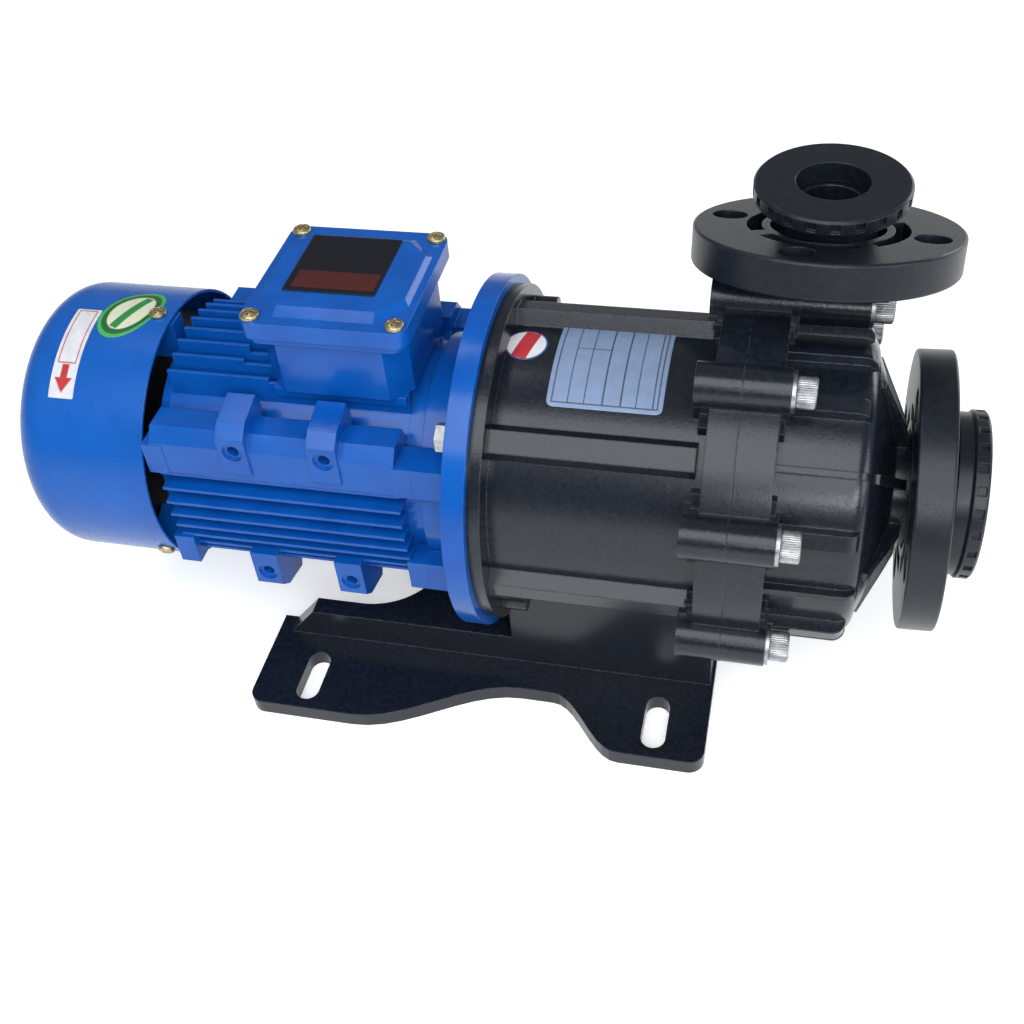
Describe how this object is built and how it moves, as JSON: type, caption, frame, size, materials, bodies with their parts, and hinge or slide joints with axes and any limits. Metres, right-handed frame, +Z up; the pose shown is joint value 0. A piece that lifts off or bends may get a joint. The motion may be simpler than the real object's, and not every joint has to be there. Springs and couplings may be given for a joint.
{
  "type": "magnetic drive pump",
  "caption": "Horizontal sealless pump: finned flange motor, ribbed bracket on a slotted foot, plastic casing with end suction and upright discharge on loose flanges.",
  "frame": {"origin": "middle of the four foot slots, on the underside of the foot", "axes": "+X along the shaft towards the suction, +Y towards the discharge side, +Z up"},
  "size_m": [0.525, 0.2394, 0.2785],
  "materials": {
    "black_polypropylene": "moulded, satin",
    "blue_paint": "gloss enamel on die-cast aluminium",
    "blue_sheet": "gloss enamel on pressed steel sheet",
    "stainless_steel": "machined stainless",
    "zinc_steel": "zinc plated",
    "turned_steel": "turned",
    "alumina_ceramic": "sintered alumina",
    "carbon": "resin-bonded carbon",
    "magnet": "nickel plated rare-earth magnet",
    "lamination_steel": "stacked lamination",
    "rotor_aluminium": "cast cage",
    "copper_wire": "varnished winding",
    "black_rubber": "matt",
    "phenolic": "moulded phenolic",
    "black_nylon": "moulded nylon"
  },
  "bodies": {
    "pump_body": {"bracket": "black_polypropylene", "front_casing": "black_polypropylene", "rear_casing": "black_polypropylene", "casing_o_ring": "black_rubber", "casing_bolts": "stainless_steel", "casing_washers": "stainless_steel", "suction_collar": "black_polypropylene", "discharge_collar": "black_polypropylene", "spindle": "alumina_ceramic", "front_thrust_ring": "alumina_ceramic", "rear_thrust_ring": "alumina_ceramic", "stator_frame": "blue_paint", "front_endshield": "blue_paint", "rear_endshield": "blue_paint", "endshield_screws": "zinc_steel", "flange_bolts": "zinc_steel", "stator_core": "lamination_steel", "stator_windings": "copper_wire", "front_bearing": "turned_steel", "rear_bearing": "turned_steel", "preload_spring": "zinc_steel", "fan_cowl": "blue_sheet", "cowl_screws": "zinc_steel", "terminal_box": "blue_paint", "lid_gasket": "black_rubber", "terminal_lid": "blue_paint", "lid_screws": "zinc_steel", "terminal_block": "phenolic", "cable_gland": "black_nylon"},
    "motor_rotor": {"rotor_core": "rotor_aluminium", "motor_shaft": "turned_steel", "shaft_key": "turned_steel", "cooling_fan": "black_nylon", "drive_magnet_yoke": "turned_steel", "drive_magnets": "magnet"},
    "pump_rotor": {"impeller": "black_polypropylene", "driven_magnet": "black_polypropylene", "spindle_bush": "carbon", "mouth_ring": "alumina_ceramic"},
    "suction_ring": {"suction_flange": "black_polypropylene"},
    "discharge_ring": {"discharge_flange": "black_polypropylene"}
  },
  "joints": [
    {"name": "rotor_spin", "type": "hinge", "parent": "pump_body", "child": "motor_rotor", "pos_m": [0, 0, 0.132], "axis": [1, 0, 0], "continuous": true},
    {"name": "impeller_spin", "type": "hinge", "parent": "pump_body", "child": "pump_rotor", "pos_m": [0.1, 0, 0.132], "axis": [1, 0, 0], "continuous": true},
    {"name": "suction_flange_swivel", "type": "hinge", "parent": "pump_body", "child": "suction_ring", "pos_m": [0.236, 0, 0.132], "axis": [0.999, 0, 0.0436], "continuous": true},
    {"name": "discharge_flange_swivel", "type": "hinge", "parent": "pump_body", "child": "discharge_ring", "pos_m": [0.1715, 0.0605, 0.2417], "axis": [0, 0.2924, 0.9563], "continuous": true}
  ],
  "couplings": [
    {"joint": "impeller_spin", "follows": "rotor_spin", "ratio": 1}
  ]
}
